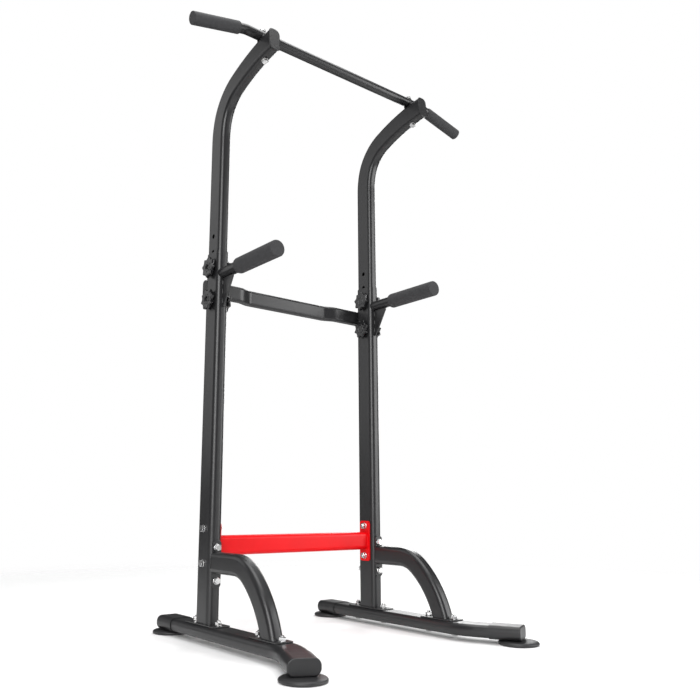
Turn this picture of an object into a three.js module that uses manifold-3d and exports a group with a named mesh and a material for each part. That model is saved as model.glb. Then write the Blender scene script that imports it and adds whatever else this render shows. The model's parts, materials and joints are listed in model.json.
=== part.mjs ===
// A free-standing power tower: two feet, two uprights with curved braces, a telescoping upper
// frame with a pull-up bar, and two dip handles. Millimetres, +Z up, -Y is the front where the
// user stands, -X is the left. The origin is on the floor at the middle of the footprint.
import * as THREE from 'three';
import { mergeVertices } from 'three/addons/utils/BufferGeometryUtils.js';
import Module from 'manifold-3d';

const wasm = await Module();
wasm.setup();

// Driving dimensions.
const gap = 0.3;                 // clearance between pieces that touch
const bendStep = 11;             // degrees of bend for each straight facet
const cornerSteps = 3;           // facets round a corner of a flat-sided tube
const shortDrill = 30;           // through one plate or wall
const drill = 60;                // through a whole tube
const longDrill = 160;           // through the widest piece, on a slant too
const uprightX = 305.5;          // half the distance between the uprights' centre lines
const uprightY = 161;            // centre line of the uprights and of both feet's rear part
const wall = 2;                  // wall of every flat-sided tube

const foot = { width: 74, height: 35, radius: 15, bottom: 14, bend: 25.5, bendRadius: 200 };
const footCap = { length: 84, wall: 1.5, end: 4, rearOverhang: 20, frontOverhang: 9 };
const clearance = 10;            // how far a cutting shape runs past what it cuts
const pad = { halfSpan: 370, frontX: 372, radius: 55.5, height: 11.9, neck: 22, screw: 4.5, screwHole: 12 };
const lower = { depth: 75, width: 40, radius: 15, top: 1126 };
const upper = { depth: 70, width: 35, radius: 13, bottom: 742 };
const bolt = {
  radius: 5,
  hole: 5.5,
  headAcross: 17,
  head: 6.4,
  nut: 8,
  washerRadius: 10.5,
  washer: 2,
  tip: 4,                        // how far the thread shows past the nut
};
const footBoltHead = 7;
const bite = 0.5;                // how far joined pieces run into each other
const plate = 3;                 // thickness of the sole plates on the feet
const soleWidth = 52;
const uprightSole = 166;         // length of the sole plate under an upright
const braceSole = 128;
const footBoltSpread = 61;       // from the upright's centre line to each of its foot bolts
const braceBolts = [-98, -198];  // Y of the brace's two foot bolts
const holePitch = 50;            // spacing of the height holes
const studHeights = [1078, 978]; // the two clamp studs of each upright
const heightHole = 7;            // radius of a height hole, with room for its stud
const lowestHole = 779.5;
const holeCount = 9;

const hook = {
  straight: 755,                 // from the upper tube's foot to the start of its bend
  bends: [[250, 14], [140, 53], [640, 17]],
  tip: 14,
  capLip: 4,
  capStem: 14,
};
const brace = {
  depth: 57,
  width: 40,
  radius: 14,
  height: 217,
  straight: 110,                 // from the upright to the start of the bend
  bends: [[111.5, 38], [289.5, 39.3]],
  tail: 60,                      // runs into the foot's top, where it is cut off level
};
const braceFlange = { thickness: 5, width: 28, corner: 8, low: 150, high: 276, bolts: [168.5, 257.4] };
const crossbar = { height: 56, depth: 30, radius: 12, centre: 260.8 };
const crossbarPlate = { height: 128, width: 47, thickness: 4, radius: 9, bolts: [213.8, 308.8] };
const backBar = {
  height: 50,
  depth: 25,
  radius: 10,
  centre: 1027,
  reach: 316,                    // from the middle to each end
  outer: 116,                    // straight length from an end to the first bend
  recess: 14,
  turn: 22,
  bendRadius: 50,
  plugLip: 3,
  plugStem: 5,                   // short, to stay clear of the studs
};
const backBarStuds = [backBar.centre - 12, backBar.centre + 12];
const plugOverlap = 1;           // how far a plug's stem starts inside its face
const dip = { height: 1057, radius: 17, wall: 2, front: -158, end: 6, gripRadius: 24, gripLength: 197 };
const gusset = { thickness: 5, reach: 55, low: 952, edge: 6 };
const bar = { radius: 15, wall: 2.5, y: -66, z: 1743.5, bendX: 368, droop: 13, bendRadius: 60 };
const cradleSize = [24, 32];     // the seat under the bar: along the bar and across it
const cradleDrop = 7;            // from the bar's centre line down to the top of its seat
const barGrip = { radius: 18.5, start: 390, length: 156, end: 5 };
const knob = {
  radius: 32.5,
  scallop: 3,
  lobes: 8,
  thickness: 12,
  hub: 13,
  hubHeight: 3,
  bore: 5.3,
  sink: 4,                       // how far the stud's tip stops short of the nut knob's face
};
const knobWasher = { radius: 12, thickness: 1.6 };

const black = { color: 0x1c1c1e, roughness: 0.42, metalness: 0.35 };
const red = { color: 0xd8141a, roughness: 0.3, metalness: 0.2 };
const zinc = { color: 0xc9ccd0, roughness: 0.3, metalness: 0.9 };
const plastic = { color: 0x151516, roughness: 0.5, metalness: 0 };
const rubber = { color: 0x18181a, roughness: 0.75, metalness: 0 };
const foam = { color: 0x202022, roughness: 0.9, metalness: 0 };

const footTop = foot.bottom + foot.height;
const plateTop = footTop + gap + plate;
const uprightFront = uprightY - lower.depth / 2;
const X = new THREE.Vector3(1, 0, 0);
const Y = new THREE.Vector3(0, 1, 0);
const Z = new THREE.Vector3(0, 0, 1);
const FRONT = new THREE.Vector3(0, -1, 0);
const sides = [[-1, 'left'], [1, 'right']];
const tower = new THREE.Group();

// --- Solids ---

// A closed geometry as a solid that can be cut and joined.
function solid(geometry) {
  const bare = geometry.clone();
  bare.deleteAttribute('normal');
  bare.deleteAttribute('uv');
  const merged = mergeVertices(bare, 1e-4);
  const vertProperties = new Float32Array(merged.attributes.position.array);
  const triVerts = new Uint32Array(merged.index.array);
  return new wasm.Manifold(new wasm.Mesh({ numProp: 3, vertProperties, triVerts }));
}

function geometryOf(shape) {
  const mesh = shape.getMesh();
  const geometry = new THREE.BufferGeometry();
  geometry.setAttribute('position', new THREE.BufferAttribute(mesh.vertProperties, 3));
  geometry.setIndex(new THREE.BufferAttribute(mesh.triVerts, 1));
  return geometry;
}

function join(geometries) {
  return geometryOf(geometries.map(solid).reduce((whole, next) => whole.add(next)));
}

function cut(geometry, tools) {
  return geometryOf(tools.map(solid).reduce((whole, tool) => whole.subtract(tool), solid(geometry)));
}

function add(name, geometry, finish) {
  const mesh = new THREE.Mesh(geometry, new THREE.MeshStandardMaterial(finish));
  mesh.name = name;
  tower.add(mesh);
}

// A box from its size and the place of its centre.
function block(size, centre) {
  return new THREE.BoxGeometry(...size).translate(...centre);
}

// A round or six-sided rod of a length along X, Y or Z, from its middle point.
function rod(axis, radius, length, centre, sides = 8) {
  const geometry = new THREE.CylinderGeometry(radius, radius, length, sides);
  const turn = new THREE.Quaternion().setFromUnitVectors(Y, axis);
  return geometry.applyQuaternion(turn).translate(...centre);
}

// A flat plate that stands across X or Y: its outline's first size is level and its second upright,
// and it goes on from a point along that direction.
function plateAcross(direction, outline, thickness, point) {
  const sheet = new THREE.ExtrudeGeometry(outline, { depth: thickness, bevelEnabled: false });
  const stand = new THREE.Matrix4().makeBasis(new THREE.Vector3().crossVectors(Z, direction), Z, direction);
  return sheet.applyMatrix4(stand).translate(...point);
}

// A ring such as a washer, closed all round, along an axis.
function ring(axis, inner, outer, length, centre, sides = 12) {
  const half = length / 2;
  const outline = [[inner, -half], [outer, -half], [outer, half], [inner, half], [inner, -half]];
  const turn = new THREE.Quaternion().setFromUnitVectors(Y, axis);
  return lathe(outline, sides).applyQuaternion(turn).translate(...centre);
}

function lathe(outline, sides) {
  return new THREE.LatheGeometry(outline.map(([r, h]) => new THREE.Vector2(r, h)), sides);
}

// --- Tube sections and routes ---

function roundedOutline(width, height, radius) {
  const corners = [[1, 1], [-1, 1], [-1, -1], [1, -1]];
  return corners.flatMap(([x, y], corner) => Array.from({ length: cornerSteps + 1 }, (_, step) => {
    const angle = (corner + step / cornerSteps) * Math.PI / 2;
    const centre = new THREE.Vector2(x * (width / 2 - radius), y * (height / 2 - radius));
    return centre.add(new THREE.Vector2(Math.cos(angle), Math.sin(angle)).multiplyScalar(radius));
  }));
}

function fullSection(width, height, radius) {
  return new THREE.Shape(roundedOutline(width, height, radius));
}

function tubeSection(width, height, radius, thickness = wall) {
  const shape = fullSection(width, height, radius);
  const inside = roundedOutline(width - 2 * thickness, height - 2 * thickness, radius - thickness);
  shape.holes.push(new THREE.Path(inside));
  return shape;
}

function roundTube(radius, thickness) {
  const shape = new THREE.Shape().absarc(0, 0, radius, 0, 2 * Math.PI);
  if (thickness) shape.holes.push(new THREE.Path().absarc(0, 0, radius - thickness, 0, 2 * Math.PI));
  return shape;
}

// A tube's centre line in one plane: the section's first size lies in the plane, across the
// heading, and its second size lies along the axis that the bends turn about.
class Route extends THREE.Curve {
  constructor(stations, axis) {
    super();
    this.stations = stations;
    this.axis = axis;
  }

  getSpacedPoints() {
    return this.stations.map(({ point }) => point);
  }

  computeFrenetFrames() {
    const tangents = this.stations.map(({ heading }) => heading);
    const normals = tangents.map((heading) => new THREE.Vector3().crossVectors(this.axis, heading));
    const binormals = tangents.map(() => this.axis);
    return { tangents, normals, binormals };
  }
}

// Walks a route: a leg is [length], or [radius, degrees] for a bend about the axis.
function walk(start, heading, axis, legs) {
  const point = start.clone();
  const direction = heading.clone().normalize();
  const stations = [];
  const note = () => stations.push({ point: point.clone(), heading: direction.clone() });
  note();
  for (const [size, degrees] of legs) {
    const steps = degrees ? Math.ceil(Math.abs(degrees) / bendStep) : 1;
    const half = THREE.MathUtils.degToRad(degrees ?? 0) / steps / 2;
    const stride = degrees ? 2 * size * Math.sin(Math.abs(half)) : size;
    for (let step = 0; step < steps; step += 1) {
      direction.applyAxisAngle(axis, half);
      point.addScaledVector(direction, stride);
      direction.applyAxisAngle(axis, half);
      note();
    }
  }
  return new Route(stations, axis);
}

function sweep(section, route, curveSegments = 1) {
  const steps = route.stations.length - 1;
  return new THREE.ExtrudeGeometry(section, { steps, extrudePath: route, curveSegments });
}

// --- Fasteners: each one is a bolt with its washers and its nut in place ---

const headRadius = bolt.headAcross / Math.sqrt(3);

// Coaxial discs and hexagons, joined: each layer is [radius, sides, from, to] along the axis.
function stack(axis, origin, layers) {
  return join(layers.map(([radius, sides, from, to]) => {
    const centre = origin.clone().addScaledVector(axis, (from + to) / 2);
    return rod(axis, radius, to - from, centre, sides);
  }));
}

// A hex bolt through everything between two points, with a washer under its head and its nut.
function throughBolt(name, from, to) {
  const start = new THREE.Vector3(...from);
  const span = new THREE.Vector3(...to).sub(start);
  const grip = span.length();
  const headFace = -gap - bolt.washer;
  const nutFace = grip + gap + bolt.washer;
  add(name, stack(span.normalize(), start, [
    [headRadius, 6, headFace - bolt.head, headFace + bite],
    [bolt.washerRadius, 10, headFace, -gap],
    [bolt.radius, 6, headFace - bite, nutFace + bolt.nut + bolt.tip],
    [bolt.washerRadius, 10, grip + gap, nutFace],
    [headRadius, 6, nutFace - bite, nutFace + bolt.nut],
  ]), zinc);
}

// A round-headed bolt from under a foot up to its washer and nut on the sole plate.
function footBolt(name, x, y) {
  const headTop = foot.bottom - gap;
  const nutFace = plateTop + gap + bolt.washer;
  add(name, stack(Z, new THREE.Vector3(x, y, 0), [
    [bolt.washerRadius, 10, headTop - footBoltHead, headTop],
    [bolt.radius, 6, headTop - bite, nutFace + bolt.nut + bolt.tip],
    [bolt.washerRadius, 10, plateTop + gap, nutFace],
    [headRadius, 6, nutFace - bite, nutFace + bolt.nut],
  ]), zinc);
}

// --- The feet ---

const straightLength = footStraight();

// From the rear end of the tube to where it bends outwards, so that the bent part's line runs
// through the front pad.
function footStraight() {
  const bend = THREE.MathUtils.degToRad(foot.bend);
  const corner = -pad.halfSpan + (pad.frontX - uprightX) / Math.tan(bend);
  return pad.halfSpan + footCap.rearOverhang - corner - foot.bendRadius * Math.tan(bend / 2);
}

function footRoute(side) {
  const bend = THREE.MathUtils.degToRad(foot.bend);
  const out = (pad.frontX - uprightX) / Math.sin(bend);
  const tail = out + footCap.frontOverhang - foot.bendRadius * Math.tan(bend / 2);
  const rearEnd = pad.halfSpan + footCap.rearOverhang;
  const start = new THREE.Vector3(side * uprightX, rearEnd, foot.bottom + foot.height / 2);
  const legs = [[straightLength], [foot.bendRadius, side * foot.bend], [tail]];
  return walk(start, FRONT, Z, legs);
}

// The flat plate that an upright or a brace stands on, bolted to the top of the foot.
function solePlate(x, y, length) {
  return block([soleWidth, length, plate], [x, y, plateTop - plate / 2]);
}

function makeFoot(side, label) {
  const route = footRoute(side);
  const tube = sweep(tubeSection(foot.width, foot.height, foot.radius), route);
  const boltYs = [uprightY - footBoltSpread, uprightY + footBoltSpread, ...braceBolts];
  const holes = boltYs.map((y) => rod(Z, bolt.hole, drill, [side * uprightX, y, foot.bottom + foot.height / 2]));
  const padPlaces = [[side * uprightX, pad.halfSpan], [side * pad.frontX, -pad.halfSpan]];
  const screwHoles = padPlaces.map(([x, y]) => rod(Z, pad.screw, pad.screwHole, [x, y, foot.bottom]));
  add(`foot_tube_${label}`, cut(tube, [...holes, ...screwHoles]), black);
  boltYs.forEach((y, index) => footBolt(`foot_bolt_${index + 1}_${label}`, side * uprightX, y));

  const ends = [['rear', route.stations[0]], ['front', route.stations.at(-1)]];
  ends.forEach(([end, { point, heading }], index) => {
    const outwards = index === 0 ? heading.clone().negate() : heading.clone();
    add(`foot_cap_${end}_${label}`, cut(footEnd(point, outwards), [screwHoles[index]]), plastic);
    add(`foot_pad_${end}_${label}`, padShape(...padPlaces[index]), rubber);
  });
}

// A plastic cap that sleeves over a foot's end, with a closed end face.
function footEnd(point, outwards) {
  const grown = 2 * (gap + footCap.wall);
  const shell = fullSection(foot.width + grown, foot.height + grown, foot.radius + gap + footCap.wall);
  const room = fullSection(foot.width + 2 * gap, foot.height + 2 * gap, foot.radius + gap);
  const tip = point.clone().addScaledVector(outwards, gap + footCap.end);
  const inwards = outwards.clone().negate();
  const body = sweep(shell, walk(tip, inwards, Z, [[footCap.length + footCap.end]]));
  const hollowStart = point.clone().addScaledVector(outwards, gap);
  return cut(body, [sweep(room, walk(hollowStart, inwards, Z, [[footCap.length + clearance]]))]);
}

// A thick rubber pad that stands on a flat rim, hollow underneath, with a low neck under the foot.
function padShape(x, y) {
  const { radius, height, neck, screw } = pad;
  const hollow = 5;              // height of the hollow's roof
  const outline = [
    [screw, hollow], [17, hollow], [40, 2], [43, 0], [radius - 5, 0], [radius - 1, 2], [radius, 4.5],
    [radius - 1.5, 7.5], [radius - 6, 9.6], [radius - 12, 10.4], [neck + 3, 10.8], [neck, height],
    [screw, height], [screw, hollow],
  ];
  return lathe(outline, 18).applyQuaternion(new THREE.Quaternion().setFromUnitVectors(Y, Z))
    .translate(x, y, 0);
}

// --- The lower frame ---

// An upright welded to its sole plate, with two welded studs at the back for the back bar.
function makeUpright(side, label) {
  const x = side * uprightX;
  const route = walk(new THREE.Vector3(x, uprightY, plateTop - bite), Z, X, [[lower.top - plateTop + bite]]);
  const tube = sweep(tubeSection(lower.depth, lower.width, lower.radius), route);
  const studLength = backBar.depth + bolt.washer + bolt.nut + bolt.tip + 3 * gap;
  const studs = backBarStuds.map((z) => rod(Y, bolt.radius, studLength,
    [x, uprightY + lower.depth / 2 + studLength / 2 - bite, z], 8));
  const welded = join([tube, solePlate(x, uprightY, uprightSole), ...studs]);
  add(`upright_${label}`, cut(welded, [
    ...[...studHeights, ...crossbarPlate.bolts].map((z) => rod(X, bolt.hole, drill, [x, uprightY, z])),
    ...braceFlange.bolts.map((z) => rod(Y, bolt.hole, longDrill, [x, uprightY, z])),
    ...[-1, 1].map((end) => rod(Z, bolt.hole, shortDrill, [x, uprightY + end * footBoltSpread, plateTop])),
  ]), black);
}

// A curved brace welded to the flange that bolts to the upright and to its sole plate.
function makeBrace(side, label) {
  const x = side * uprightX;
  const { thickness, width, corner, low, high, bolts } = braceFlange;
  const flangeBack = uprightFront - gap;
  const flangeFront = flangeBack - thickness;
  const start = new THREE.Vector3(x, flangeFront, brace.height);
  const legs = [[brace.straight - thickness], ...brace.bends, [brace.tail]];
  const tube = sweep(tubeSection(brace.depth, brace.width, brace.radius), walk(start, FRONT, X, legs));
  const middle = (braceBolts[0] + braceBolts[1]) / 2;
  const below = block([2 * brace.width, 4 * braceSole, 2 * plateTop], [x, middle, 0]);
  const flange = plateAcross(FRONT, fullSection(width, high - low, corner), thickness,
    [x, flangeBack, (low + high) / 2]);
  const welded = join([cut(tube, [below]), flange, solePlate(x, middle, braceSole)]);
  const holes = [
    ...bolts.map((z) => rod(Y, bolt.hole, shortDrill, [x, flangeFront, z])),
    ...braceBolts.map((y) => rod(Z, bolt.hole, shortDrill, [x, y, plateTop])),
    rod(Z, bolt.hole, shortDrill, [x, middle, plateTop]),  // lets the welded tube breathe
  ];
  add(`brace_${label}`, cut(welded, holes), black);
  bolts.forEach((z, index) => throughBolt(`brace_bolt_${index + 1}_${label}`, [x, flangeFront, z],
    [x, uprightY + lower.depth / 2, z]));
}

// The red crossbar near the feet, welded to a plate at each end that bolts to the upright.
function makeCrossbar() {
  const { height, width, thickness, radius, bolts } = crossbarPlate;
  const half = uprightX - lower.width / 2 - gap;
  const inner = half - thickness;
  const route = walk(new THREE.Vector3(-inner, uprightY, crossbar.centre), X, Z, [[2 * inner]]);
  const tube = sweep(tubeSection(crossbar.depth, crossbar.height, crossbar.radius), route);
  const ends = [-1, 1].map((side) => plateAcross(X, fullSection(width, height, radius), thickness,
    [side < 0 ? -half : inner, uprightY, crossbar.centre]));
  const holeHeights = [...bolts, crossbar.centre];  // the middle one lets the welded tube breathe
  const holes = [-1, 1].flatMap((side) => holeHeights.map((z) => rod(X, bolt.hole, shortDrill,
    [side * half, uprightY, z])));
  add('crossbar', cut(join([tube, ...ends]), holes), red);
  for (const [side, label] of sides) {
    const outside = side * (uprightX + lower.width / 2);
    bolts.forEach((z, index) => throughBolt(`crossbar_bolt_${index + 1}_${label}`, [outside, uprightY, z],
      [side * inner, uprightY, z]));
  }
}

// The bar behind the uprights: its middle is set back, and welded studs on the uprights hold it.
function makeBackBar() {
  const front = uprightY + lower.depth / 2 + gap;
  const { turn, bendRadius, outer } = backBar;
  const bendLength = bendRadius * Math.sin(THREE.MathUtils.degToRad(turn));
  const bendDrop = bendRadius * (1 - Math.cos(THREE.MathUtils.degToRad(turn)));
  const slant = (backBar.recess - 2 * bendDrop) / Math.sin(THREE.MathUtils.degToRad(turn));
  const slantLength = slant * Math.cos(THREE.MathUtils.degToRad(turn));
  const middle = 2 * (backBar.reach - outer - 2 * bendLength - slantLength);
  const step = (sign) => [[bendRadius, sign * turn], [slant], [bendRadius, -sign * turn]];
  const start = new THREE.Vector3(-backBar.reach, front + backBar.depth / 2, backBar.centre);
  const route = walk(start, X, Z, [[outer], ...step(1), [middle], ...step(-1), [outer]]);
  const tube = sweep(tubeSection(backBar.depth, backBar.height, backBar.radius), route);
  const holes = sides.flatMap(([side]) => backBarStuds.map((z) => rod(Y, bolt.hole, drill,
    [side * uprightX, start.y, z])));
  add('back_bar', cut(tube, holes), black);
  sides.forEach(([side, label]) => add(`back_bar_plug_${label}`, backPlug(side, start.y), plastic));
}

function backPlug(side, y) {
  const end = new THREE.Vector3(side * (backBar.reach + gap), y, backBar.centre);
  const outwards = X.clone().multiplyScalar(side);
  const section = fullSection(backBar.depth, backBar.height, backBar.radius);
  const face = sweep(section, walk(end, outwards, Z, [[backBar.plugLip]]));
  const inset = 2 * (wall + gap);
  const start = end.clone().addScaledVector(outwards, plugOverlap);
  const stem = sweep(fullSection(backBar.depth - inset, backBar.height - inset, backBar.radius - wall - gap),
    walk(start, outwards.clone().negate(), Z, [[backBar.plugStem]]));
  return join([face, stem]);
}

// The outer shape of an upright with a little room round it, to cut what is welded to it.
function uprightRoom(x) {
  const section = fullSection(lower.depth + 2 * gap, lower.width + 2 * gap, lower.radius + gap);
  const low = gusset.low - clearance;
  return sweep(section, walk(new THREE.Vector3(x, uprightY, low), Z, X, [[lower.top - low]]));
}

// A dip handle's tube with the gusset welded under it, cut to fit against the upright.
function makeDipHandle(side, label) {
  const x = side * uprightX;
  const root = new THREE.Vector3(x, uprightFront + clearance, dip.height);
  const length = root.y - dip.front - dip.end;
  const tube = sweep(roundTube(dip.radius, dip.wall), walk(root, FRONT, X, [[length]]), 8);
  const top = dip.height - dip.radius + bite;
  const outline = new THREE.Shape();
  outline.moveTo(root.y, top);
  outline.lineTo(uprightFront - gusset.reach, top);
  outline.lineTo(uprightFront - gusset.reach, top - gusset.edge);
  outline.lineTo(uprightFront - gusset.edge, gusset.low);
  outline.lineTo(root.y, gusset.low);
  outline.closePath();
  const web = new THREE.ExtrudeGeometry(outline, { depth: gusset.thickness, bevelEnabled: false })
    .rotateX(Math.PI / 2).rotateZ(Math.PI / 2).translate(x - gusset.thickness / 2, 0, 0);
  add(`dip_handle_${label}`, cut(join([tube, web]), [uprightRoom(x)]), black);

  const { gripRadius: r, gripLength: long, front } = dip;
  const inner = dip.radius + gap;
  const profile = [
    [0, 0], [r - 1.5, 0], [r, 1.5], [r, long - 6], [r - 3, long - 1.5], [r - 5, long],
    [inner, long], [inner, dip.end - gap], [0, dip.end - gap],
  ];
  add(`dip_grip_${label}`, lathe(profile, 20).translate(x, front, dip.height), foam);
}

// --- The upper frame, which slides in the uprights ---

function hookRoute(x) {
  const start = new THREE.Vector3(x, uprightY, upper.bottom);
  return walk(start, Z, X, [[hook.straight], ...hook.bends, [hook.tip]]);
}

// A hook's top face straight below the pull-up bar: the point on the centre line whose normal
// runs through the bar.
function hookSeat(x) {
  const stations = hookRoute(x).stations;
  const target = new THREE.Vector3(x, bar.y, bar.z);
  for (let index = 1; index < stations.length; index += 1) {
    const heading = stations[index].point.clone().sub(stations[index - 1].point);
    const share = target.clone().sub(stations[index - 1].point).dot(heading) / heading.lengthSq();
    if (share >= 0 && share <= 1) {
      const point = stations[index - 1].point.clone().addScaledVector(heading, share);
      return { point, normal: target.clone().sub(point).normalize() };
    }
  }
  throw new Error('the pull-up bar is not over the hook');
}

function makeHook(side, label) {
  const x = side * uprightX;
  const route = hookRoute(x);
  const tube = sweep(tubeSection(upper.depth, upper.width, upper.radius), route);
  const heights = Array.from({ length: holeCount }, (_, index) => lowestHole + index * holePitch);
  const seat = hookSeat(x);
  const boltHole = rod(seat.normal, bolt.hole, longDrill, seat.point);
  const sideHoles = heights.map((z) => rod(X, heightHole, drill, [x, uprightY, z], 12));
  const barRoom = rod(X, bar.radius + gap, drill, [x, bar.y, bar.z], 24);
  const welded = join([tube, cradle(x, seat)]);
  add(`upper_tube_${label}`, cut(welded, [...sideHoles, boltHole, barRoom]), black);

  const { point, heading } = route.stations.at(-1);
  const end = point.clone().addScaledVector(heading, gap);
  const face = sweep(fullSection(upper.depth, upper.width, upper.radius), walk(end, heading, X, [[hook.capLip]]));
  const inset = 2 * (wall + gap);
  const start = end.clone().addScaledVector(heading, plugOverlap);
  const stem = sweep(fullSection(upper.depth - inset, upper.width - inset, upper.radius - wall - gap),
    walk(start, heading.clone().negate(), X, [[hook.capStem]]));
  add(`upper_cap_${label}`, join([face, stem]), plastic);

  const under = seat.point.clone().addScaledVector(seat.normal, -upper.depth / 2);
  const over = new THREE.Vector3(x, bar.y, bar.z).addScaledVector(seat.normal, bar.radius);
  throughBolt(`bar_bolt_${label}`, under, over);
}

// The block welded on a hook's top, before the bar's round seat is cut into it.
function cradle(x, { point, normal }) {
  const tilt = Math.atan2(-normal.y, normal.z);
  const low = upper.depth / 2 - bite;
  const high = point.distanceTo(new THREE.Vector3(x, bar.y, bar.z)) - cradleDrop;
  return new THREE.BoxGeometry(cradleSize[0], cradleSize[1], high - low).rotateX(tilt)
    .translate(...point.clone().addScaledVector(normal, (low + high) / 2));
}

function makePullUpBar() {
  const droop = THREE.MathUtils.degToRad(bar.droop);
  const tangent = bar.bendRadius * Math.tan(droop / 2);
  const gripEnd = barGrip.start + barGrip.length * Math.cos(droop) - barGrip.end - gap;
  const sloped = (gripEnd - bar.bendX) / Math.cos(droop);
  const start = new THREE.Vector3(-gripEnd, bar.y, bar.z - (gripEnd - bar.bendX) * Math.tan(droop));
  const heading = new THREE.Vector3(Math.cos(droop), 0, Math.sin(droop));
  const bend = [bar.bendRadius, bar.droop];
  const middle = 2 * (bar.bendX - tangent);
  const route = walk(start, heading, Y, [[sloped - tangent], bend, [middle], bend, [sloped - tangent]]);
  const tube = sweep(roundTube(bar.radius, bar.wall), route, 8);
  const holes = [-1, 1].map((side) => {
    const { normal } = hookSeat(side * uprightX);
    return rod(normal, bolt.hole, drill, [side * uprightX, bar.y, bar.z]);
  });
  add('pull_up_bar', cut(tube, holes), black);

  const { radius: r, length: long, end } = barGrip;
  const inner = bar.radius + gap;
  const profile = [
    [0, 0], [r - 1, 0], [r, 1], [r, long - 3], [r - 2, long], [inner, long], [inner, end], [0, end],
  ];
  for (const [side, label] of sides) {
    const { point, heading: ahead } = side < 0 ? route.stations[0] : route.stations.at(-1);
    const inwards = ahead.clone().multiplyScalar(-side);
    const tip = point.clone().addScaledVector(inwards, -end - gap);
    const turn = new THREE.Quaternion().setFromUnitVectors(Y, inwards);
    add(`bar_grip_${label}`, lathe(profile, 16).applyQuaternion(turn).translate(...tip), foam);
  }
}

// --- The clamps that lock the upper frame at its height ---

function starOutline() {
  return new THREE.Shape(Array.from({ length: knob.lobes * 4 }, (_, index) => {
    const angle = (index / (knob.lobes * 4)) * 2 * Math.PI;
    const r = knob.radius - knob.scallop + knob.scallop * Math.cos(knob.lobes * angle);
    return new THREE.Vector2(r * Math.cos(angle), r * Math.sin(angle));
  }));
}

// A star knob's hub and lobes, from its contact face along +Z.
function star() {
  const lobes = new THREE.ExtrudeGeometry(starOutline(), { depth: knob.thickness, bevelEnabled: false })
    .translate(0, 0, knob.hubHeight);
  const hubLength = knob.hubHeight + bite;
  return join([lobes, rod(Z, knob.hub, hubLength, [0, 0, hubLength / 2], 16)]);
}

// A clamp goes through the upright from the inner side: a knob moulded on a threaded stud, and on
// the outer side a washer and a second knob that is its nut.
function makeClamp(side, name, z) {
  const x = side * uprightX;
  const half = lower.width / 2 + gap;
  const washerMiddle = half + knobWasher.thickness / 2;
  const knobStart = half + knobWasher.thickness + gap;
  const outwards = new THREE.Quaternion().setFromUnitVectors(Z, X.clone().multiplyScalar(side));
  const inwards = new THREE.Quaternion().setFromUnitVectors(Z, X.clone().multiplyScalar(-side));
  const nut = cut(star(), [rod(Z, knob.bore, drill, [0, 0, 0], 16)]);
  add(`clamp_knob_${name}`, nut.applyQuaternion(outwards)
    .translate(x + side * knobStart, uprightY, z), plastic);
  add(`clamp_washer_${name}`, ring(X, knob.bore, knobWasher.radius, knobWasher.thickness,
    [x + side * washerMiddle, uprightY, z]), zinc);
  const length = half + knobStart + knob.hubHeight + knob.thickness - knob.sink + bite;
  const stud = rod(Z, bolt.radius, length, [0, 0, bite - length / 2], 12);
  add(`clamp_bolt_${name}`, join([star(), stud]).applyQuaternion(inwards)
    .translate(x - side * half, uprightY, z), plastic);
}

// --- The whole tower ---

for (const [side, label] of sides) {
  makeFoot(side, label);
  makeUpright(side, label);
  makeBrace(side, label);
  makeDipHandle(side, label);
  makeHook(side, label);
  studHeights.forEach((z, index) => makeClamp(side, `${index ? 'lower' : 'upper'}_${label}`, z));
}
makeCrossbar();
makeBackBar();
makePullUpBar();

export default tower;
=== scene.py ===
import bpy
import json
from math import cos, pi, radians, sin, sqrt, tan
from mathutils import Matrix, Vector


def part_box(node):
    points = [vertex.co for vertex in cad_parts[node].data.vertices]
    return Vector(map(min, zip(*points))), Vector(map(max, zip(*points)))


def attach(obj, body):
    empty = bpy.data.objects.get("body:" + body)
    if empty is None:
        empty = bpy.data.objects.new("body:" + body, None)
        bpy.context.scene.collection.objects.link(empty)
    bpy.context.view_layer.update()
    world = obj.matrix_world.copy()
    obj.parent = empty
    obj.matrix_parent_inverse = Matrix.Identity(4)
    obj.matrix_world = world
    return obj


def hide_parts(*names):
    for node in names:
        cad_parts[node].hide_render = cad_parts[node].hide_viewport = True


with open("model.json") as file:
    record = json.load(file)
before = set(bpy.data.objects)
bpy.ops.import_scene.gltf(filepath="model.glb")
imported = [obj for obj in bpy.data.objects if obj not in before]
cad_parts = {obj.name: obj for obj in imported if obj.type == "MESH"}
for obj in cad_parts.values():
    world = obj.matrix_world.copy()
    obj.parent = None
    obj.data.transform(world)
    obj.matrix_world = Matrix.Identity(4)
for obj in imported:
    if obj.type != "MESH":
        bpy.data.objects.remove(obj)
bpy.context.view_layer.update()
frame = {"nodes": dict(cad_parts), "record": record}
mm = 0.001
gap = 0.3 * mm                    # clearance between pieces that touch
bite = 0.5 * mm                   # how far joined pieces run into each other
alongX = Vector((1, 0, 0))
alongY = Vector((0, 1, 0))
alongZ = Vector((0, 0, 1))
toFront = -alongY
toMirror = Matrix.Diagonal((-1, 1, 1, 1))
print("frame loaded:", len(frame["nodes"]), "solids")


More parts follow.
